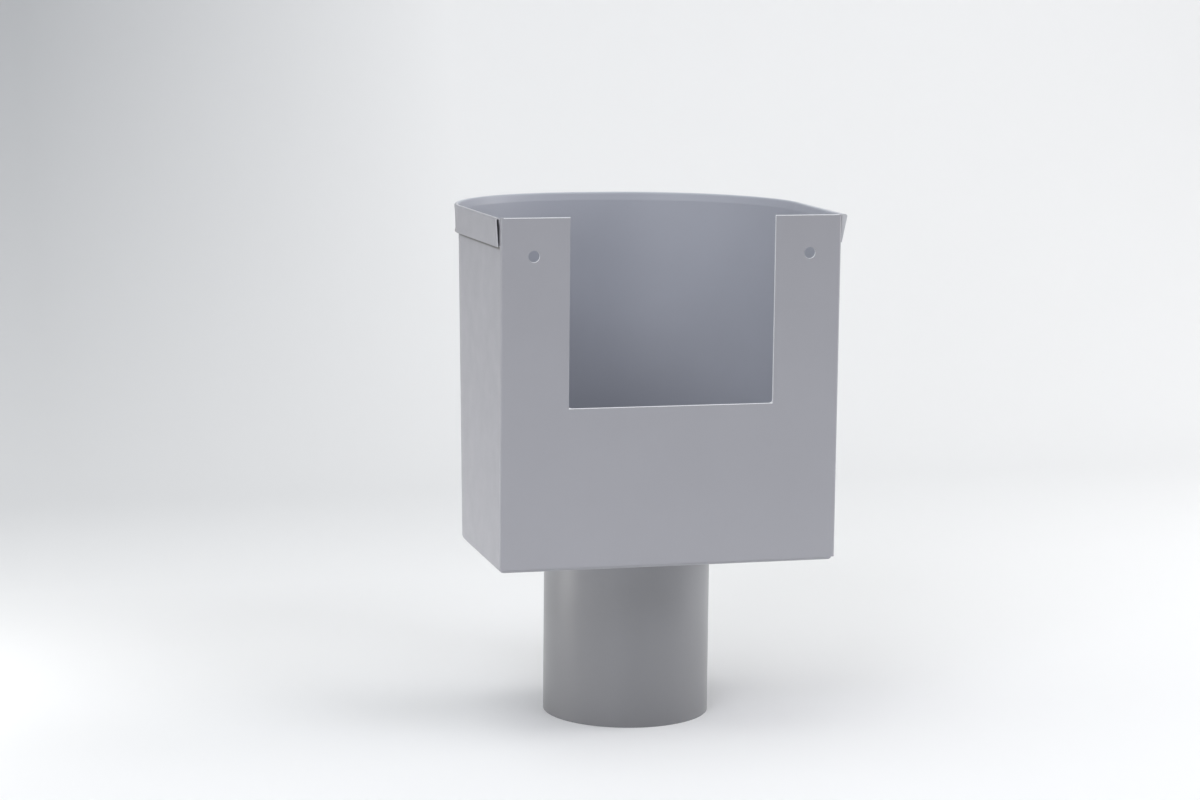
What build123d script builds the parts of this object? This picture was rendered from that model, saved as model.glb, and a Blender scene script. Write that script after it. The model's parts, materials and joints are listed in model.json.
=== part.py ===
from build123d import *

import os
from math import acos, degrees

# Rainwater hopper head, made of one gauge of thin coated sheet.
# The outlet stands on Z = 0 with its axis on +Z, the flat wall side faces +Y and the bowed front faces -Y.
# All sizes are in millimetres.

# Sheet
sheet = 0.7
bend_radius = 1.5

# Plan of the body, outside the sheet
width = 200.0
depth = 187.0
front_depth = 93.8
corner_radius = 76.0
front_flat = 8.0
side_flare = 2.8

# Heights
outlet_length = 106.0
pan_drop = 2.0
wall_height = 199.5

# Notch for the gutter outlet, and the ears beside it
notch_width = 120.5
notch_depth = 108.0
notch_corner_radius = 2.0
hole_diameter = 6.5
hole_pitch = 162.0
hole_drop = 21.7

# Open teardrop hem round the sides and front
hem_height = 16.3
hem_proud = 2.6
hem_roll_radius = 1.35
hem_crease_depth = 5.0
hem_root_depth = 6.0
hem_flap_gap = 0.15
hem_setback = 2.4

# Lap that closes the wrapped strip, behind the back panel
lap_width = 12.0
lap_end_gap = 1.0

# Bottom pan
pan_clearance = 0.1
pan_flange_height = 12.0
pan_bend_radius = 2.0
pan_corner_radius = 3.0

# Outlet spigot
outlet_diameter = 100.0
outlet_clearance = 0.1
outlet_flange_width = 9.0
outlet_bevel = 0.8

# Planes and levels that follow from the sizes above
back_y = depth / 2
front_y = -depth / 2
pan_foot_z = outlet_length
wall_foot_z = pan_foot_z + pan_drop
rim_z = wall_foot_z + wall_height
hem_foot_z = rim_z - hem_height
hem_root_z = rim_z - hem_root_depth
pan_floor_z = pan_foot_z + sheet
pan_flange_z = pan_foot_z + pan_flange_height
hole_z = rim_z - hole_drop


def find_wide_radius(tight_reach, wide_reach):
    """Radius of the wider arc of the bow, which runs on from the tight arc to the far end of the quarter."""
    offset_square = (tight_reach - corner_radius) ** 2
    return (offset_square + wide_reach**2 - corner_radius**2) / (2 * (wide_reach - corner_radius))


# The tight arc lies at the side of a bow that is wider than deep, and at the front of one that is deeper
bow_width = (width - front_flat) / 2
if front_depth <= bow_width:
    side_radius = corner_radius
    front_radius = find_wide_radius(bow_width, front_depth)
else:
    side_radius = find_wide_radius(front_depth, bow_width)
    front_radius = corner_radius


def draw_wrap(flare, setback=0.0):
    """Draw the sides and the bowed front as one run of tangent lines and arcs.

    Each side leans out from the back corner until it meets the side arc. The front arc follows, down to a
    short flat at the middle. The flare moves the arcs outwards just as they are and widens that flat.
    """
    back_corner = Vector(width / 2, back_y)
    side_centre = Vector(width / 2 - side_radius + flare, front_y + front_depth)
    flat_end = Vector(front_flat / 2 + flare, front_y)
    front_centre = flat_end + Vector(0, front_radius)
    arcs_meet = front_centre + (side_centre - front_centre) * (front_radius / (front_radius - side_radius))
    to_back = back_corner - side_centre
    half_turn = degrees(acos(side_radius / to_back.length))
    side_end = side_centre + to_back.normalized().rotate(Axis.Z, -half_turn) * side_radius
    start = back_corner + (side_end - back_corner).normalized() * setback

    side = Line(start, side_end)
    side_arc = TangentArc(side @ 1, arcs_meet, tangent=side % 1)
    front_arc = TangentArc(side_arc @ 1, flat_end, tangent=side_arc % 1)
    flat = Line(front_arc @ 1, (-flat_end.X, front_y))
    far_front_arc = TangentArc(flat @ 1, (-arcs_meet.X, arcs_meet.Y), tangent=flat % 1)
    far_side_arc = TangentArc(far_front_arc @ 1, (-side_end.X, side_end.Y), tangent=far_front_arc % 1)
    Line(far_side_arc @ 1, (-start.X, start.Y))


def draw_plan(flare, inset, back_radius, mode=Mode.ADD):
    """Bring a closed D plan, inset and with rounded back corners, into the sketch in hand."""
    with BuildSketch(mode=Mode.PRIVATE) as plan:
        with BuildLine():
            draw_wrap(flare)
            Line((-width / 2, back_y), (width / 2, back_y))
        make_face()
        if inset > 0:
            offset(amount=-inset, kind=Kind.INTERSECTION, mode=Mode.REPLACE)
        fillet(plan.vertices().group_by(Axis.Y)[-1], back_radius)
    add(plan.sketch, mode=mode)


# One wrapped strip: back panel with ears, sides, bowed front and hem
with BuildPart() as hopper_body:
    # Walls, upright at the back and leaning out at the sides up to the foot of the hem
    with BuildSketch(Plane.XY.offset(wall_foot_z)):
        draw_plan(0.0, 0.0, bend_radius)
    with BuildSketch(Plane.XY.offset(hem_foot_z)):
        draw_plan(side_flare, 0.0, bend_radius)
    loft(ruled=True)
    with BuildSketch(Plane.XY.offset(wall_foot_z)):
        draw_plan(0.0, sheet, bend_radius - sheet)
    with BuildSketch(Plane.XY.offset(hem_foot_z)):
        draw_plan(side_flare, sheet, bend_radius - sheet)
    loft(ruled=True, mode=Mode.SUBTRACT)

    # Upright band behind the hem
    with BuildSketch(Plane.XY.offset(hem_foot_z)) as band:
        draw_plan(side_flare, 0.0, bend_radius)
        draw_plan(side_flare, sheet, bend_radius - sheet, Mode.SUBTRACT)
    extrude(amount=hem_root_z - hem_foot_z)

    # Back panel and bent corners, up to the bare edge of the ears, running one sheet's thickness into the hem
    with BuildSketch(Plane.XY.offset(hem_root_z)):
        add(band.sketch_local)
        with Locations((0, back_y)):
            Rectangle(width + 2 * side_flare, 2 * (hem_setback + sheet), mode=Mode.INTERSECT)
    extrude(amount=hem_root_depth)

    # Hem: the edge leans out at a crease, rolls over and comes down as a flap that nearly meets the wall
    with BuildLine(mode=Mode.PRIVATE) as hem_line:
        draw_wrap(side_flare, hem_setback)
    hem_path = hem_line.wires()[0].moved(Location((0, 0, rim_z)))
    hem_outward = Vector(0, 0, 1).cross(hem_path % 0)
    with BuildSketch(Plane(hem_path @ 0, x_dir=hem_outward, z_dir=hem_path % 0)):
        with BuildLine():
            roll_centre = Vector(hem_proud - hem_roll_radius, -hem_roll_radius)
            roll_circle = CenterArc(roll_centre, hem_roll_radius - sheet / 2, 0, 360, mode=Mode.PRIVATE)
            crease = Vector(-sheet / 2, -hem_crease_depth)
            flap_foot = Vector(hem_flap_gap + sheet / 2, -hem_height)
            Line((-sheet / 2, -hem_root_depth), crease)
            lean = ConstrainedLines(roll_circle, crease, selector=lambda lines: lines.sort_by(Axis.X)[0])
            flap = ConstrainedLines(roll_circle, flap_foot, selector=lambda lines: lines.sort_by(Axis.X)[-1])
            lean_top = lean.vertices().sort_by(Axis.Y)[-1]
            flap_top = flap.vertices().sort_by(Axis.Y)[-1]
            ThreePointArc(lean_top, (roll_centre.X, -sheet / 2), flap_top)
        trace(line_width=sheet)
    sweep(path=hem_path)

    # Notch and fixing holes in the back panel
    with BuildSketch(Plane.XZ.offset(-back_y)):
        with Locations((0, rim_z)):
            notch = Rectangle(notch_width, 2 * notch_depth)
        fillet(notch.vertices(), notch_corner_radius)
        with Locations((-hole_pitch / 2, hole_z), (hole_pitch / 2, hole_z)):
            Circle(hole_diameter / 2)
    extrude(amount=sheet, mode=Mode.SUBTRACT)

    # Lap of the strip's end against the inside of the back panel
    with BuildSketch(Plane.XY.offset(pan_flange_z + lap_end_gap)):
        with Locations((sheet - width / 2, back_y - sheet)):
            Rectangle(lap_width, sheet, align=(Align.MIN, Align.MAX))
    extrude(amount=hem_foot_z - pan_flange_z - 2 * lap_end_gap)


# D-shaped pan whose upturned edge stands inside the walls
with BuildPart() as bottom_pan:
    with BuildSketch(Plane.XY.offset(pan_foot_z)):
        draw_plan(0.0, sheet + pan_clearance, pan_corner_radius)
    extrude(amount=pan_flange_height)
    underside = bottom_pan.faces().sort_by(Axis.Z)[0]
    fillet(underside.edges(), pan_bend_radius)
    with BuildSketch(Plane.XY.offset(pan_floor_z)):
        draw_plan(0.0, 2 * sheet + pan_clearance, pan_corner_radius - sheet)
    extrude(amount=pan_flange_height, mode=Mode.SUBTRACT)
    floor = bottom_pan.faces().filter_by(Axis.Z).sort_by(Axis.Z)[1]
    fillet(floor.edges(), pan_bend_radius - sheet)
    with Locations((0, 0, pan_floor_z)):
        Hole(outlet_diameter / 2 + outlet_bevel + outlet_clearance)


# Round tube turned out over a bevel into a flange that lies on the pan
with BuildPart() as outlet_spigot:
    with BuildSketch(Plane.XZ):
        with BuildLine():
            tube_r = (outlet_diameter - sheet) / 2
            flange_z = pan_floor_z + sheet / 2
            Polyline(
                (tube_r, 0),
                (tube_r, flange_z - outlet_bevel),
                (tube_r + outlet_bevel, flange_z),
                (outlet_diameter / 2 + outlet_flange_width, flange_z),
            )
        trace(line_width=sheet)
    revolve(axis=Axis.Z)


os.makedirs("parts", exist_ok=True)
hopper_body.part.label = "hopper_body"
export_step(hopper_body.part, "parts/hopper_body.step")
bottom_pan.part.label = "bottom_pan"
export_step(bottom_pan.part, "parts/bottom_pan.step")
outlet_spigot.part.label = "outlet_spigot"
export_step(outlet_spigot.part, "parts/outlet_spigot.step")
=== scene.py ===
"""Rainwater hopper head in grey coated sheet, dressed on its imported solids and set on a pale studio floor.

Every length is in metres. The outlet stands on Z = 0, the flat wall side faces +Y and the bowed front
faces -Y. The camera looks at the wall side, so +X is on the left in its picture.
"""

import json
import logging
import math
from dataclasses import dataclass, replace
from enum import Enum

import bmesh
import bpy
from mathutils import Matrix, Vector


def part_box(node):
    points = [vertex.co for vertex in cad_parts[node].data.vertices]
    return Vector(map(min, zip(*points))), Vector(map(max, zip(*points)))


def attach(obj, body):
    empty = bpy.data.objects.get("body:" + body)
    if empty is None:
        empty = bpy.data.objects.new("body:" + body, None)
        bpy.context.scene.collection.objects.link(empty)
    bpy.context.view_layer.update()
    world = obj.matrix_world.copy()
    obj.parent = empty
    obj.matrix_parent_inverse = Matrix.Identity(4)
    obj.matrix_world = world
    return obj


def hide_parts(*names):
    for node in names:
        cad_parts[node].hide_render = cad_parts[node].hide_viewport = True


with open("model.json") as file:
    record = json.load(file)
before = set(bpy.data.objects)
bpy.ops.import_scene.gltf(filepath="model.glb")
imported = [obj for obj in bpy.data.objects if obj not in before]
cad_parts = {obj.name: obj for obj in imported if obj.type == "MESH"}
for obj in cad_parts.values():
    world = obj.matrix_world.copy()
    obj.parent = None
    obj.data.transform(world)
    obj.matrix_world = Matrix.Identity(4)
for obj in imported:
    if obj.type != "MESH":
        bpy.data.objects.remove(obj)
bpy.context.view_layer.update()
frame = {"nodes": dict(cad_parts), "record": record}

logger = logging.getLogger("hopper_head")

Colour = tuple[float, float, float]
Point = tuple[float, float, float]
Span = tuple[float, float]
Socket = bpy.types.NodeSocket

MM_PER_M = 1000.0

# Two points closer than this are one
SAME_PLACE = 0.000001

# A face looks along an axis where its normal's part along it is above this
FACING_LIMIT = 0.5

# The part of a noise's range that most of the surface has, and the part that only a few peaks reach
NOISE_SPAN = (0.3, 0.7)
PEAK_SPAN = (0.74, 0.80)

# The middle of the hopper head, at which most of the lamps are aimed
LAMP_AIM = (0.0, 0.0, 0.15)


class Noise(Enum):
    """The noise patterns that a finish can read, each with its scale and its number of finer layers."""

    WAVES = (9.0, 1.0)
    CLOUDS = (22.0, 4.0)
    PATCHES = (70.0, 3.0)
    SPECKS = (420.0, 1.0)
    PEEL = (2600.0, 2.0)


class Axis(Enum):
    """The axes of the part's frame."""

    X = "X"
    Y = "Y"
    Z = "Z"


class Facing(Enum):
    """Which faces of a zone are meant: those that look along its axis, those that look across it, or all."""

    ALONG = "along"
    ACROSS = "across"
    ANY = "any"


class NodeGraph:
    """Adds and joins the shader nodes of one material."""

    def __init__(self, name: str) -> None:
        """Start a material with a Principled surface.

        Args:
            name: The material's name.
        """
        self.material = bpy.data.materials.new(name)
        self.material.use_nodes = True
        self.nodes = self.material.node_tree.nodes
        self.links = self.material.node_tree.links
        self.surface = self.nodes["Principled BSDF"]
        coordinates = self.nodes.new("ShaderNodeTexCoord")
        self.place = coordinates.outputs["Object"]
        self.place_along = self.split(self.place)
        self.normal_along = self.split(coordinates.outputs["Normal"])

    def split(self, vector: Socket) -> dict[Axis, Socket]:
        """Split a vector into its three parts.

        Args:
            vector: The vector.

        Returns:
            Its part along each axis.
        """
        node = self.nodes.new("ShaderNodeSeparateXYZ")
        self.links.new(vector, node.inputs["Vector"])
        return {axis: node.outputs[axis.value] for axis in Axis}

    def give(self, socket: Socket, value: Socket | float) -> None:
        """Give a node's socket its value.

        Args:
            socket: The socket that takes the value.
            value: Another node's socket, which is joined to it, or a number, which is set on it.
        """
        if isinstance(value, Socket):
            self.links.new(value, socket)
        else:
            socket.default_value = value

    def feed(self, name: str, value: Socket | float) -> None:
        """Give one of the surface's sockets its value.

        Args:
            name: The socket's name.
            value: The value, a socket or a number.
        """
        self.give(self.surface.inputs[name], value)

    def noise(self, pattern: Noise) -> Socket:
        """Add a noise in object space.

        Args:
            pattern: The kind of noise.

        Returns:
            The noise's value, from 0 to 1.
        """
        scale, layers = pattern.value
        node = self.nodes.new("ShaderNodeTexNoise")
        node.inputs["Scale"].default_value = scale
        node.inputs["Detail"].default_value = layers
        self.links.new(self.place, node.inputs["Vector"])
        return node.outputs["Fac"]

    def calculate(self, operation: str, *values: Socket | float) -> Socket:
        """Add one step of arithmetic.

        Args:
            operation: The name of the Math node's operation.
            values: What goes in, each a socket or a number.

        Returns:
            The result.
        """
        node = self.nodes.new("ShaderNodeMath")
        node.operation = operation
        for socket, value in zip(node.inputs, values):
            self.give(socket, value)
        return node.outputs["Value"]

    def spread(self, value: Socket, low: float, high: float, span: Span = NOISE_SPAN) -> Socket:
        """Map a value to a new range and hold it there.

        Args:
            value: The value to map.
            low: What the start of the span becomes.
            high: What the end of the span becomes.
            span: The part of the value's range that is used.

        Returns:
            The mapped value.
        """
        node = self.nodes.new("ShaderNodeMapRange")
        for name, bound in zip(("From Min", "From Max", "To Min", "To Max"), (*span, low, high)):
            node.inputs[name].default_value = bound
        self.links.new(value, node.inputs["Value"])
        return node.outputs["Result"]

    def mix(self, share: Socket, first: Socket | Colour, second: Socket | Colour) -> Socket:
        """Mix two colours.

        Args:
            share: How much of the second colour shows.
            first: The colour where the share is 0.
            second: The colour where the share is 1.

        Returns:
            The mixed colour.
        """
        node = self.nodes.new("ShaderNodeMix")
        node.data_type = "RGBA"
        for name, colour in (("A", first), ("B", second)):
            self.give(node.inputs[name], colour if isinstance(colour, Socket) else (*colour, 1.0))
        self.links.new(share, node.inputs["Factor"])
        return node.outputs["Result"]

    def scale(self, colour: Socket, factor: Socket) -> Socket:
        """Make a colour lighter or darker.

        Args:
            colour: The colour.
            factor: What it is multiplied by.

        Returns:
            The changed colour.
        """
        node = self.nodes.new("ShaderNodeVectorMath")
        node.operation = "SCALE"
        self.links.new(colour, node.inputs["Vector"])
        self.links.new(factor, node.inputs["Scale"])
        return node.outputs["Vector"]

    def bump(self, height: Socket, strength: float, distance: float, under: Socket | None = None) -> Socket:
        """Raise the surface's relief by a height.

        Args:
            height: The height, from 0 to 1.
            strength: How much of the relief shows.
            distance: The relief's depth.
            under: A coarser relief that this one lies on.

        Returns:
            The normal with the relief.
        """
        node = self.nodes.new("ShaderNodeBump")
        node.inputs["Strength"].default_value = strength
        node.inputs["Distance"].default_value = distance
        self.links.new(height, node.inputs["Height"])
        if under is not None:
            self.links.new(under, node.inputs["Normal"])
        return node.outputs["Normal"]

    def faces_inwards(self) -> Socket:
        """Find the inner side of a wall that stands round the vertical axis.

        Returns:
            1 where the surface faces the axis and 0 where it faces away.
        """
        aside = self.calculate("MULTIPLY", self.place_along[Axis.X], self.normal_along[Axis.X])
        ahead = self.calculate("MULTIPLY", self.place_along[Axis.Y], self.normal_along[Axis.Y])
        return self.calculate("LESS_THAN", self.calculate("ADD", aside, ahead), 0.0)


@dataclass(frozen=True)
class EdgeZone:
    """A box in which some faces are bare metal.

    Attributes:
        low: The box's lower corner.
        high: The box's upper corner.
        axis: The axis that facing refers to.
        facing: Which of the faces in the box are bare.
        share: How bare they are, from 0 to 1.
    """

    low: Point
    high: Point
    axis: Axis = Axis.Y
    facing: Facing = Facing.ANY
    share: float = 1.0

    def cover(self, graph: NodeGraph) -> Socket:
        """Find where the surface is bare.

        Args:
            graph: The material's nodes.

        Returns:
            The zone's share on its bare faces and 0 elsewhere.
        """
        inside = self.share
        for axis, low, high in zip(Axis, self.low, self.high):
            near = graph.calculate("COMPARE", graph.place_along[axis], (low + high) / 2, (high - low) / 2)
            inside = graph.calculate("MULTIPLY", near, inside)
        if self.facing is Facing.ANY:
            return inside
        across = graph.calculate("COMPARE", graph.normal_along[self.axis], 0.0, FACING_LIMIT)
        chosen = across if self.facing is Facing.ACROSS else graph.calculate("SUBTRACT", 1.0, across)
        return graph.calculate("MULTIPLY", inside, chosen)


@dataclass(frozen=True)
class EdgeRing:
    """The rim of a round hole through the back panel: its bare cut edge, kept only on the lower side, where
    it catches the light, as a painted highlight.

    Attributes:
        centre: The hole's centre.
        radius: The hole's radius.
        width: How far the bare metal reaches to either side of the rim.
        lean: The direction of the painted highlight's brightest point, along X and Z.
        bare_highlight_span: Where the bare, highlighted metal begins and is full along that direction, in
            shares of the radius.
    """

    centre: Point
    radius: float
    width: float
    lean: Span = (-0.35, -0.94)
    bare_highlight_span: Span = (0.25, 0.95)

    def cover(self, graph: NodeGraph) -> Socket:
        """Find where the surface is the hole's rim.

        Args:
            graph: The material's nodes.

        Returns:
            1 on the rim's lit, bare side, less towards its ends, and 0 elsewhere.
        """
        x = graph.calculate("SUBTRACT", graph.place_along[Axis.X], self.centre[0])
        z = graph.calculate("SUBTRACT", graph.place_along[Axis.Z], self.centre[2])
        square = graph.calculate("ADD", graph.calculate("MULTIPLY", x, x), graph.calculate("MULTIPLY", z, z))
        near = graph.calculate("COMPARE", graph.calculate("SQRT", square), self.radius, self.width)
        on_panel = graph.calculate("GREATER_THAN", graph.place_along[Axis.Y], 0.0)
        aside = graph.calculate("MULTIPLY", x, self.lean[0])
        down = graph.calculate("MULTIPLY", z, self.lean[1])
        begins, full = self.bare_highlight_span
        span = (begins * self.radius, full * self.radius)
        # Painted highlight: only the rim's lower side, where the light catches the cut edge, is bare
        lower = graph.spread(graph.calculate("ADD", aside, down), 0.0, 1.0, span)
        return graph.calculate("MULTIPLY", graph.calculate("MULTIPLY", near, on_panel), lower)


@dataclass(frozen=True)
class PaintedFlapShadow:
    """A painted shadow: the dark line on the outside of a wall, right under the hem's flap, where the flap
    shades it.

    Attributes:
        level: The height of the flap's foot.
        end: How far the line runs along +Y.
        depth: How far down it reaches.
        tone: The painted shadow's colour.
    """

    level: float
    end: float
    depth: float = 0.0020
    tone: Colour = (0.13, 0.125, 0.12)

    def cover(self, graph: NodeGraph) -> Socket:
        """Find where the painted shadow lies.

        Args:
            graph: The material's nodes.

        Returns:
            1 under the flap, fading downwards to 0.
        """
        height = graph.place_along[Axis.Z]
        rising = graph.spread(height, 0.0, 1.0, (self.level - self.depth, self.level - self.depth / 2))
        under = graph.calculate("LESS_THAN", height, self.level)
        beside = graph.calculate("LESS_THAN", graph.place_along[Axis.Y], self.end)
        outside = graph.calculate("SUBTRACT", 1.0, graph.faces_inwards())
        line = graph.calculate("MULTIPLY", rising, under)
        wall = graph.calculate("MULTIPLY", beside, outside)
        return graph.calculate("MULTIPLY", line, wall)


@dataclass(frozen=True)
class CoatedSheet:
    """Satin coil coating on thin sheet: a faint mottle, a fine orange peel and bare zinc on cut edges, with
    painted light and shade: a shading by height, a lighter inside, painted highlights and a painted shadow.

    Attributes:
        name: The material's name.
        colour: The coating's colour on the outside.
        inside: Its colour on the inside, lighter and bluer than the outside as painted light in the hollow.
        edges: Where the metal is bare, and the painted highlights in the bare metal's colour.
        painted_shadow: The painted shadow line under the hem, if the piece has one.
        painted_shading: Painted light and shade by height: what the outside colour is multiplied by at the
            foot and at the top.
        painted_shading_span: The heights of the foot and the top.
        mottle: How much the colour varies in soft clouds.
        specks: How much darker the few specks of dirt are.
        gloss: The strength of the coating's reflections.
        roughness: Its roughness.
        roughness_spread: How much the roughness varies in patches.
        sheet_waves: The depth of the sheet's long waves.
        peel_strength: How much of the orange peel shows.
        peel_depth: The orange peel's depth.
        zinc: The bare metal's colour.
        zinc_roughness: The bare metal's roughness.
    """

    name: str
    colour: Colour
    inside: Colour
    edges: tuple[EdgeZone | EdgeRing, ...] = ()
    painted_shadow: PaintedFlapShadow | None = None
    painted_shading: Span = (1.0, 1.0)
    painted_shading_span: Span = (0.0, 1.0)
    mottle: float = 0.012
    specks: float = 0.03
    gloss: float = 0.35
    roughness: float = 0.42
    roughness_spread: float = 0.05
    sheet_waves: float = 0.00003
    peel_strength: float = 0.12
    peel_depth: float = 0.00004
    zinc: Colour = (0.90, 0.91, 0.93)
    zinc_roughness: float = 0.30

    def build(self) -> bpy.types.Material:
        """Make the finish's material.

        Returns:
            The material.
        """
        graph = NodeGraph(self.name)
        tone = self.coat(graph)
        rough = self.roughen(graph)
        if self.edges:
            bare = self.bare_edges_and_highlights(graph)
            tone = graph.mix(bare, tone, self.zinc)
            coated = graph.calculate("MULTIPLY", rough, graph.calculate("SUBTRACT", 1.0, bare))
            rough = graph.calculate("ADD", coated, graph.calculate("MULTIPLY", bare, self.zinc_roughness))
        waves = graph.bump(graph.noise(Noise.WAVES), strength=1.0, distance=self.sheet_waves)
        peel = graph.bump(graph.noise(Noise.PEEL), self.peel_strength, self.peel_depth, under=waves)
        graph.feed("Base Color", tone)
        graph.feed("Roughness", rough)
        graph.feed("Specular IOR Level", self.gloss)
        graph.feed("Normal", peel)
        return graph.material

    def coat(self, graph: NodeGraph) -> Socket:
        """Colour the coating, with its painted shading by height, its lighter inside as painted light, its
        mottle, a few faint specks of dirt and the painted shadow under the hem.

        Args:
            graph: The material's nodes.

        Returns:
            The coating's colour.
        """
        foot, top = (tuple(part * share for part in self.colour) for share in self.painted_shading)
        # Painted light and shade: the outside colour grows lighter or darker from the foot to the top
        outside = graph.mix(graph.spread(graph.place_along[Axis.Z], 0.0, 1.0, self.painted_shading_span), foot, top)
        # Painted light: faces towards the axis take the lighter, bluer inside colour
        base = graph.mix(graph.faces_inwards(), outside, self.inside)
        clouds = graph.spread(graph.noise(Noise.CLOUDS), 1.0 - self.mottle, 1.0 + self.mottle)
        dirt = graph.spread(graph.noise(Noise.SPECKS), 1.0, 1.0 - self.specks, PEAK_SPAN)
        tone = graph.scale(base, graph.calculate("MULTIPLY", clouds, dirt))
        # Painted shadow: a dark line on the wall under the hem's flap, where the flap shades it
        return tone if self.painted_shadow is None else graph.mix(self.painted_shadow.cover(graph), tone, self.painted_shadow.tone)

    def roughen(self, graph: NodeGraph) -> Socket | float:
        """Give the coating its roughness.

        Args:
            graph: The material's nodes.

        Returns:
            The roughness, a plain number where it is the same all over.
        """
        if self.roughness_spread == 0.0:
            return self.roughness
        smoothest = self.roughness - self.roughness_spread
        roughest = self.roughness + self.roughness_spread
        return graph.spread(graph.noise(Noise.PATCHES), smoothest, roughest)

    def bare_edges_and_highlights(self, graph: NodeGraph) -> Socket:
        """Join all the bare edges and painted highlights into one.

        Args:
            graph: The material's nodes.

        Returns:
            Up to 1 on bare metal and on the painted highlights, and 0 on the coating.
        """
        bare = self.edges[0].cover(graph)
        for edge in self.edges[1:]:
            bare = graph.calculate("MAXIMUM", bare, edge.cover(graph))
        return bare


SHEET_GREY = CoatedSheet(
    # Painted light: the inside colour is a lighter, bluer copy of the outside one
    "coated_sheet", colour=(0.346, 0.346, 0.373), inside=(0.428, 0.443, 0.498),
    # Painted light: the sheet is a little lighter towards its foot, where the floor's light falls, and darker
    # at its top
    painted_shading=(1.07, 0.95), painted_shading_span=(0.108, 0.3075)
)
TUBE_GREY = CoatedSheet(
    # Painted light: the inside colour is a slightly bluer copy of the outside one
    "coated_tube", colour=(0.236, 0.237, 0.250), inside=(0.236, 0.242, 0.262),
    # Painted shade and light: the tube is darker towards its foot by the floor and lighter at its top under
    # the pan
    painted_shading=(0.85, 1.24), painted_shading_span=(0.0, 0.106), gloss=0.6, roughness=0.32, roughness_spread=0.0
)


@dataclass
class SolidNode:
    """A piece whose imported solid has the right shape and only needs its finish.

    Attributes:
        node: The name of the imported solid.
        finish: The piece's finish.
    """

    node: str
    finish: CoatedSheet

    def dress(self) -> bpy.types.Object:
        """Give the piece's solid its finish.

        Returns:
            The piece's object.
        """
        piece = frame["nodes"][self.node]
        material = self.finish.build()
        for slot in piece.material_slots:
            slot.material = material
        return piece


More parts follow.
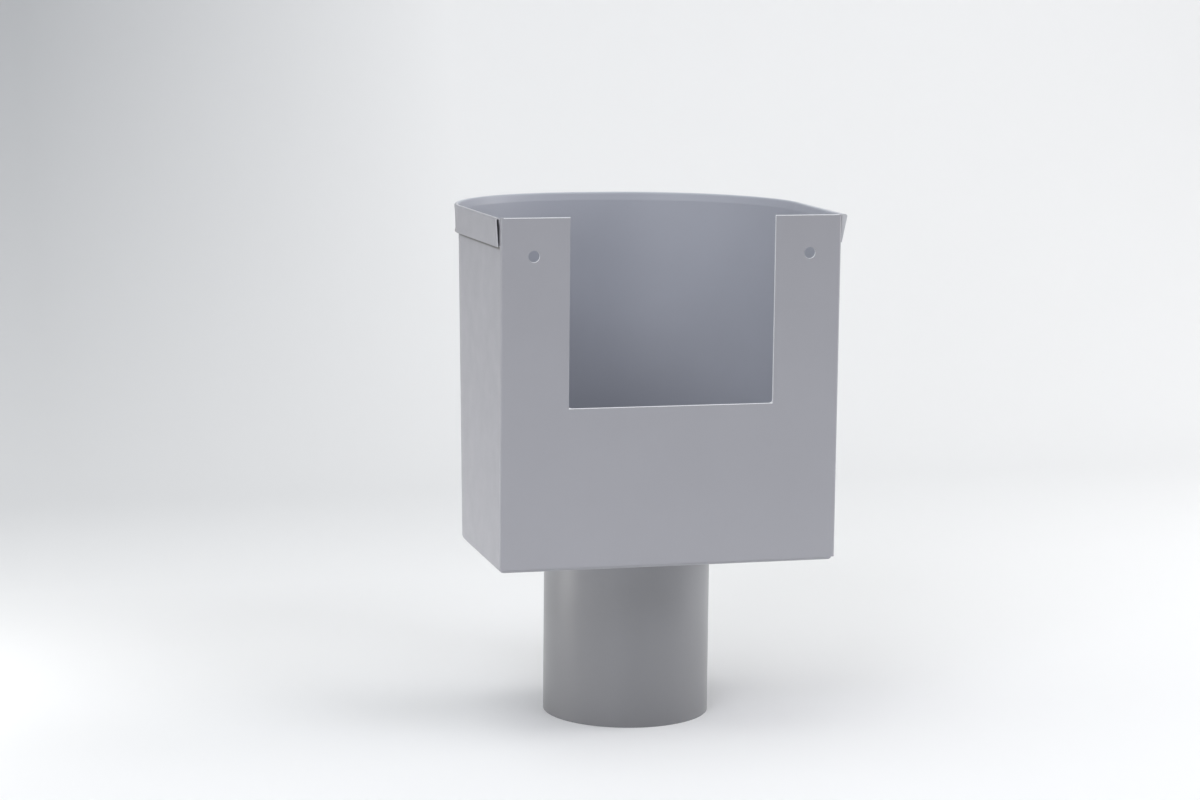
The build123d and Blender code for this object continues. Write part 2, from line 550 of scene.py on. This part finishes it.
@dataclass
class HopperBody:
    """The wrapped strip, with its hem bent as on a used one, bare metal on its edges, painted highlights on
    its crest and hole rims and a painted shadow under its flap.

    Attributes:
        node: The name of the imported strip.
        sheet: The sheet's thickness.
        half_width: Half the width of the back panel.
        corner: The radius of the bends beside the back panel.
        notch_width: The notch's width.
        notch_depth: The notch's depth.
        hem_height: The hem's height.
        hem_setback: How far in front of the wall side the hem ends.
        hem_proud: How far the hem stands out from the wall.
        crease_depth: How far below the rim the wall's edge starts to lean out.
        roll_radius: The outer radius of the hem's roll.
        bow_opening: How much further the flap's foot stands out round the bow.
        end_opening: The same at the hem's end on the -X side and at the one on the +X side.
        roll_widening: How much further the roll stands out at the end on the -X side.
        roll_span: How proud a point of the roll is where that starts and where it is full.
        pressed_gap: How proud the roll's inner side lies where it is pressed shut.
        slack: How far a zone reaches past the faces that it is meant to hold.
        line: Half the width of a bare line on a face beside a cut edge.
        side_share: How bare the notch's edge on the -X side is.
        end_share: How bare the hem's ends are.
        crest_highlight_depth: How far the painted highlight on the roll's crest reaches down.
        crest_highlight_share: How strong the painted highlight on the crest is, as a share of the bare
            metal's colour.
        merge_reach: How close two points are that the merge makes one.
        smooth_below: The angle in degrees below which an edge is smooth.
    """

    node: str = "hopper_body"
    sheet: float = 0.0007
    half_width: float = 0.1
    corner: float = 0.0015
    notch_width: float = 0.1205
    notch_depth: float = 0.108
    hem_height: float = 0.0163
    hem_setback: float = 0.0024
    hem_proud: float = 0.0026
    crease_depth: float = 0.005
    roll_radius: float = 0.00135
    bow_opening: float = 0.0013
    end_opening: Span = (0.00005, 0.00075)
    roll_widening: float = 0.0013
    roll_span: Span = (0.0004, 0.0019)
    pressed_gap: float = 0.00074
    slack: float = 0.00015
    line: float = 0.00030
    side_share: float = 0.35
    end_share: float = 0.3
    crest_highlight_depth: float = 0.00022
    crest_highlight_share: float = 0.28
    merge_reach: float = 0.000002
    smooth_below: float = 30.0

    def dress(self) -> bpy.types.Object:
        """Make the strip and give it its coating, its bare edges with their painted highlights, and the
        painted shadow under its flap.

        Returns:
            The strip's object.
        """
        strip = self.build()
        # The bare edges, with the painted highlights on the hem's crest and on the holes' lower rims
        edges = (*self.panel_edges(), *self.wall_edges(), *self.hole_rims())
        strip.data.materials.append(replace(SHEET_GREY, edges=edges, painted_shadow=self.painted_shadow()).build())
        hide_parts(self.node)
        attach(strip, "root")
        return strip

    def build(self) -> bpy.types.Object:
        """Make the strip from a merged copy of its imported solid, with its hem bent.

        Returns:
            The strip's object.
        """
        mesh = bpy.data.meshes.new("wrapped_strip")
        shape = bmesh.new()
        shape.from_mesh(frame["nodes"][self.node].data)
        bmesh.ops.remove_doubles(shape, verts=shape.verts, dist=self.merge_reach)
        shape.normal_update()
        self.open_flap(shape)
        self.press_end(shape)
        shape.normal_update()
        self.mark_edges(shape)
        shape.to_mesh(mesh)
        shape.free()
        if mesh.has_custom_normals:
            mesh.attributes.remove(mesh.attributes["custom_normal"])
        for face in mesh.polygons:
            face.use_smooth = True
        strip = bpy.data.objects.new("wrapped_strip", mesh)
        bpy.context.scene.collection.objects.link(strip)
        weighted = strip.modifiers.new("even_shading", "WEIGHTED_NORMAL")
        weighted.keep_sharp = True
        return strip

    def open_flap(self, shape: bmesh.types.BMesh) -> None:
        """Bend the hem's flap away from the wall, most round the bow and least at its two ends.

        Args:
            shape: The merged strip.
        """
        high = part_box(self.node)[1]
        hem_foot = high.z - self.hem_height
        end_plane = high.y - self.hem_setback - self.sheet
        feet = {
            face for face in shape.faces
            if face.normal.z < -FACING_LIMIT and abs(face.calc_center_median().z - hem_foot) < self.sheet / 2
        }
        moves = {}
        for vert in {vert for face in feet for vert in face.verts}:
            at_end = self.end_opening[1] if vert.co.x > 0 else self.end_opening[0]
            share = min(max(vert.co.y / end_plane, 0.0), 1.0)
            opening = self.bow_opening + share * (at_end - self.bow_opening)
            moves[vert] = self.outward_at(vert, feet, end_plane) * opening
        for vert, move in moves.items():
            vert.co.xy += move

    @staticmethod
    def outward_at(vert: bmesh.types.BMVert, feet: set[bmesh.types.BMFace], end_plane: float) -> Vector:
        """Find which way the flap faces at a point of its foot.

        Args:
            vert: The point.
            feet: The faces of the flap's cut edge, which are left out.
            end_plane: How far along +Y the hem's end begins, whose face is left out too.

        Returns:
            The level direction away from the body.
        """
        outward = Vector((0.0, 0.0))
        for face in vert.link_faces:
            level = face.normal.xy
            is_end = abs(level.y) > FACING_LIMIT and face.calc_center_median().y > end_plane
            if face not in feet and not is_end:
                outward += level if level.dot(vert.co.xy) > 0 else -level
        return outward.normalized()

    def press_end(self, shape: bmesh.types.BMesh) -> None:
        """Pull the roll outwards at the hem's end on the -X side, and press it shut there.

        Args:
            shape: The merged strip.
        """
        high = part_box(self.node)[1]
        end_plane = high.y - self.hem_setback
        middle = high.z - self.hem_height / 2
        core = Vector((self.hem_proud - self.roll_radius, high.z - self.roll_radius))
        starts, full = self.roll_span
        for vert in shape.verts:
            proud = -vert.co.x - self.half_width
            at_end = abs(vert.co.y - end_plane) <= self.slack and vert.co.z >= middle and proud >= starts
            if not at_end:
                continue
            if (Vector((proud, vert.co.z)) - core).length < self.roll_radius - self.sheet / 2:
                vert.co.x = -self.half_width - min(proud, self.pressed_gap)
            else:
                vert.co.x -= min((proud - starts) / (full - starts), 1.0) * self.roll_widening

    def mark_edges(self, shape: bmesh.types.BMesh) -> None:
        """Keep the corners and the hem's crease crisp, and all other edges smooth.

        Args:
            shape: The merged strip.
        """
        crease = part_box(self.node)[1].z - self.crease_depth
        for edge in shape.edges:
            creased = all(abs(vert.co.z - crease) < self.slack for vert in edge.verts)
            edge.smooth = not creased and edge.calc_face_angle(0.0) < math.radians(self.smooth_below)

    def panel_edges(self) -> tuple[EdgeZone, ...]:
        """List the bare edges of the back panel, its notch and its ears.

        Returns:
            The zones.
        """
        low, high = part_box(self.node)
        inner = high.y - self.sheet - self.slack
        outer = high.y + self.slack
        top = high.z + self.slack
        sill = high.z - self.notch_depth
        ear = self.notch_width / 2
        flat = self.half_width - self.corner
        cut = EdgeZone((-flat, inner, low.z - self.slack), (flat, outer, top), Axis.Y, Facing.ACROSS)
        side_line = EdgeZone(
            (-ear - self.line, inner, sill), (-ear + self.line, outer, top), share=self.side_share
        )
        sill_line = EdgeZone((-ear, inner, sill - self.line), (ear, outer, sill + self.line))
        left_top = EdgeZone((ear, inner, high.z - self.line), (flat, outer, top))
        right_top = EdgeZone((-flat, inner, high.z - self.line), (-ear, outer, top))
        return (cut, side_line, sill_line, left_top, right_top)

    def wall_edges(self) -> tuple[EdgeZone, ...]:
        """List the bare feet of the walls, the bare edges of the hem and the painted highlight on its crest.

        Returns:
            The zones.
        """
        low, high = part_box(self.node)
        hem_foot = high.z - self.hem_height
        hem_end = high.y - self.hem_setback
        wall_foot = EdgeZone(
            (low.x, low.y, low.z - self.slack), (high.x, high.y + self.slack, low.z + self.slack),
            Axis.Z, Facing.ALONG
        )
        flap_foot = EdgeZone(
            (low.x, low.y, hem_foot - self.slack), (high.x, high.y, hem_foot + self.slack),
            Axis.Z, Facing.ALONG
        )
        ends = EdgeZone(
            (low.x, hem_end - self.sheet, hem_foot), (high.x, hem_end + self.sheet, high.z),
            Axis.Y, Facing.ALONG, self.end_share
        )
        # Painted highlight: the roll's crest in a share of the bare metal's colour, where the light from
        # above catches it
        crest = EdgeZone(
            (low.x, low.y, high.z - self.crest_highlight_depth), (high.x, hem_end, high.z + self.slack),
            share=self.crest_highlight_share
        )
        return (wall_foot, flap_foot, ends, crest)

    def hole_rims(self) -> list[EdgeRing]:
        """List the rims of the fixing holes, where the record's mount has them.

        Returns:
            One rim for each hole.
        """
        mount = next(mount for mount in frame["record"]["mounts"] if mount["name"] == "wall_holes")
        x, y, z = mount["pos_m"]
        reach = mount["dims"]["spacing_x_mm"] / MM_PER_M / 2
        radius = mount["dims"]["hole_r_mm"] / MM_PER_M
        return [EdgeRing((x + side * reach, y, z), radius, self.slack) for side in (-1, 1)]

    def painted_shadow(self) -> PaintedFlapShadow:
        """Place the painted shadow line under the flap's foot.

        Returns:
            The line.
        """
        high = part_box(self.node)[1]
        return PaintedFlapShadow(high.z - self.hem_height, high.y - self.hem_setback)


@dataclass(frozen=True)
class Softbox:
    """A rectangular studio lamp, aimed at a point and out of the camera's sight.

    Attributes:
        name: The lamp's name.
        place: Where it hangs.
        size: Its width and height.
        power: Its power in watts.
        colour: Its colour.
        aim: The point that it is aimed at.
    """

    name: str
    place: Point
    size: Span
    power: float
    colour: Colour = (1.0, 1.0, 1.0)
    aim: Point = LAMP_AIM

    def build(self) -> bpy.types.Object:
        """Add the lamp to the scene.

        Returns:
            The lamp's object.
        """
        lamp = bpy.data.lights.new(self.name, "AREA")
        lamp.shape = "RECTANGLE"
        lamp.size, lamp.size_y = self.size
        lamp.energy = self.power
        lamp.color = self.colour
        holder = bpy.data.objects.new(self.name, lamp)
        holder.location = self.place
        holder.rotation_euler = (Vector(self.aim) - Vector(self.place)).to_track_quat("-Z", "Y").to_euler()
        holder.visible_camera = False
        bpy.context.scene.collection.objects.link(holder)
        return holder


@dataclass(frozen=True)
class StudioCamera:
    """The camera at the photograph's place.

    Attributes:
        place: Where it stands.
        yaw: How far it is turned from -Y towards -X, in degrees.
        pitch: How far it looks down, in degrees.
        roll: How far its right side is raised, in degrees.
        lens: The focal length in millimetres.
        sensor: The width of the sensor in millimetres.
        reach: The farthest that it sees.
    """

    place: Point = (0.44441, 1.6256, 0.43704)
    yaw: float = 14.71
    pitch: float = 8.37
    roll: float = 0.58
    lens: float = 85.0
    sensor: float = 36.0
    reach: float = 100.0

    def build(self) -> bpy.types.Object:
        """Add the camera to the scene and make it the active one.

        Returns:
            The camera's object.
        """
        yaw, pitch, roll = (math.radians(angle) for angle in (self.yaw, self.pitch, self.roll))
        ahead = Vector((-math.sin(yaw) * math.cos(pitch), -math.cos(yaw) * math.cos(pitch), -math.sin(pitch)))
        level = Vector((-math.cos(yaw), math.sin(yaw), 0.0))
        above = level.cross(ahead)
        right = level * math.cos(roll) + above * math.sin(roll)
        top = above * math.cos(roll) - level * math.sin(roll)
        lens = bpy.data.cameras.new("camera")
        lens.lens = self.lens
        lens.sensor_width = self.sensor
        lens.clip_end = self.reach
        holder = bpy.data.objects.new("camera", lens)
        turned = Matrix((right, top, -ahead)).transposed().to_4x4()
        holder.matrix_world = Matrix.Translation(self.place) @ turned
        bpy.context.scene.collection.objects.link(holder)
        bpy.context.scene.camera = holder
        return holder


@dataclass
class Studio:
    """A pale sweep of paper, soft lamps on both sides and overhead, and the camera.

    Attributes:
        half_width: Half the width of the sweep.
        front: How far the floor reaches along +Y.
        fold: Where the floor would meet the backdrop without the bend, along Y.
        height: The backdrop's height.
        bend: How far the bend between them reaches along each.
        bend_segments: The number of flats in the bend.
        paper: The paper's colour.
        paper_shaded: Its colour in full shade, high on the backdrop's +X side.
        paper_ahead: Its colour on the floor in front, a little darker there as painted shade.
        paper_roughness: Its roughness.
        paper_gloss: The strength of its reflections.
        shade_aside: Between which places along X the shade grows.
        shade_share: The shade's share at those places.
        shade_behind: Between which values of Z less Y the shade grows.
        shade_ahead: Between which values of Z less Y the colour in front ends.
        world: The colour of the even light.
        world_strength: The strength of the even light.
        lamps: The lamps.
        camera: The camera.
    """

    half_width: float = 5.0
    front: float = 4.0
    fold: float = -1.3
    height: float = 4.0
    bend: float = 0.55
    bend_segments: int = 24
    paper: Colour = (0.88, 0.885, 0.89)
    paper_shaded: Colour = (0.43, 0.44, 0.455)
    paper_ahead: Colour = (0.86, 0.87, 0.885)
    paper_roughness: float = 0.9
    paper_gloss: float = 0.1
    shade_aside: Span = (-0.15, 0.28)
    shade_share: Span = (0.23, 0.97)
    shade_behind: Span = (0.4, 1.75)
    shade_ahead: Span = (-0.8, 0.0)
    world: Colour = (0.93, 0.96, 1.0)
    world_strength: float = 0.10
    lamps: tuple[Softbox, ...] = (
        Softbox("front_left", (1.2, 1.7, 1.6), (1.1, 1.1), 15.2, (0.93, 0.94, 1.0)),
        Softbox("low_left", (1.6, 0.2, 0.40), (1.2, 0.8), 2.4, (1.0, 0.97, 0.93)),
        Softbox("foot_left", (0.62, -0.12, 0.07), (0.24, 0.10), 0.80, (1.0, 0.98, 0.94), (0.1, 0.02, 0.12)),
        Softbox("high_right", (-1.7, 0.1, 1.2), (1.2, 1.2), 6.0, (1.0, 0.95, 0.90)),
        Softbox("low_right", (-1.6, 0.0, 0.45), (1.0, 0.9), 12.5),
        Softbox("front_right", (-0.81, 1.25, 1.59), (0.8, 0.8), 9.6, (0.96, 0.97, 1.0)),
        Softbox("low_front", (1.15, 2.0, 0.45), (0.7, 0.6), 5.0),
        Softbox("over_top", (0.0, 0.2, 2.3), (1.8, 1.8), 7.0, (0.98, 0.99, 1.0)),
        Softbox("over_left", (0.9, 0.2, 2.0), (2.4, 2.4), 20.0, (0.98, 1.0, 0.99)),
    )
    camera: StudioCamera = StudioCamera()

    def build(self) -> None:
        """Add the sweep, the lamps, the world and the camera."""
        self.build_sweep()
        for lamp in self.lamps:
            lamp.build()
        self.build_world()
        self.camera.build()

    def build_sweep(self) -> bpy.types.Object:
        """Make the floor that curves up into a backdrop.

        Returns:
            The sweep's object.
        """
        mesh = bpy.data.meshes.new("sweep")
        shape = bmesh.new()
        profile = ((self.front, 0.0), (self.fold, 0.0), (self.fold, self.height))
        corners = [shape.verts.new((-self.half_width, y, z)) for y, z in profile]
        edges = [shape.edges.new(pair) for pair in zip(corners, corners[1:])]
        swept = bmesh.ops.extrude_edge_only(shape, edges=edges)["geom"]
        moved = [item for item in swept if isinstance(item, bmesh.types.BMVert)]
        bmesh.ops.translate(shape, verts=moved, vec=(2 * self.half_width, 0, 0))
        bmesh.ops.bevel(
            shape, geom=self.find_folds(shape), offset=self.bend, segments=self.bend_segments, profile=0.5,
            affect="EDGES", material=-1
        )
        bmesh.ops.recalc_face_normals(shape, faces=shape.faces)
        for face in shape.faces:
            face.smooth = True
        shape.to_mesh(mesh)
        shape.free()
        mesh.materials.append(self.build_paper())
        sweep = bpy.data.objects.new("sweep", mesh)
        bpy.context.scene.collection.objects.link(sweep)
        return sweep

    def find_folds(self, shape: bmesh.types.BMesh) -> list[bmesh.types.BMEdge]:
        """Find the edge between the floor and the backdrop.

        Args:
            shape: The sweep before it is bent.

        Returns:
            The edges that lie on the fold.
        """
        fold = Vector((self.fold, 0.0))
        return [
            edge for edge in shape.edges
            if all((vert.co.yz - fold).length < SAME_PLACE for vert in edge.verts)
        ]

    def build_paper(self) -> bpy.types.Material:
        """Make the paper's material.

        Returns:
            The material.
        """
        graph = NodeGraph("paper")
        graph.feed("Base Color", self.shade_paper(graph))
        graph.feed("Roughness", self.paper_roughness)
        graph.feed("Specular IOR Level", self.paper_gloss)
        return graph.material

    def shade_paper(self, graph: NodeGraph) -> Socket:
        """Paint shade on the paper: darken it softly towards one upper corner of the backdrop, and a little
        towards the front.

        Args:
            graph: The paper's nodes.

        Returns:
            The paper's colour.
        """
        aside = graph.spread(graph.place_along[Axis.X], *self.shade_share, self.shade_aside)
        along = graph.calculate("SUBTRACT", graph.place_along[Axis.Z], graph.place_along[Axis.Y])
        behind = graph.spread(along, 0.0, 1.0, self.shade_behind)
        paper = graph.mix(graph.calculate("MULTIPLY", aside, behind), self.paper, self.paper_shaded)
        return graph.mix(graph.spread(along, 1.0, 0.0, self.shade_ahead), paper, self.paper_ahead)

    def build_world(self) -> None:
        """Set the even light that comes from all round."""
        world = bpy.data.worlds.new("studio")
        world.use_nodes = True
        background = world.node_tree.nodes["Background"]
        background.inputs["Color"].default_value = (*self.world, 1.0)
        background.inputs["Strength"].default_value = self.world_strength
        bpy.context.scene.world = world


def main() -> None:
    """Dress the pieces and set the studio round them."""
    logging.basicConfig(level=logging.INFO, format="%(name)s: %(message)s")
    bpy.context.scene.view_settings.view_transform = "Standard"
    pieces = [
        HopperBody(),
        SolidNode("bottom_pan", SHEET_GREY),
        SolidNode("outlet_spigot", TUBE_GREY),
    ]
    for part in pieces:
        piece = part.dress()
        logger.info("%s has %d faces", piece.name, len(piece.data.polygons))
    Studio().build()


if __name__ == "__main__":
    main()
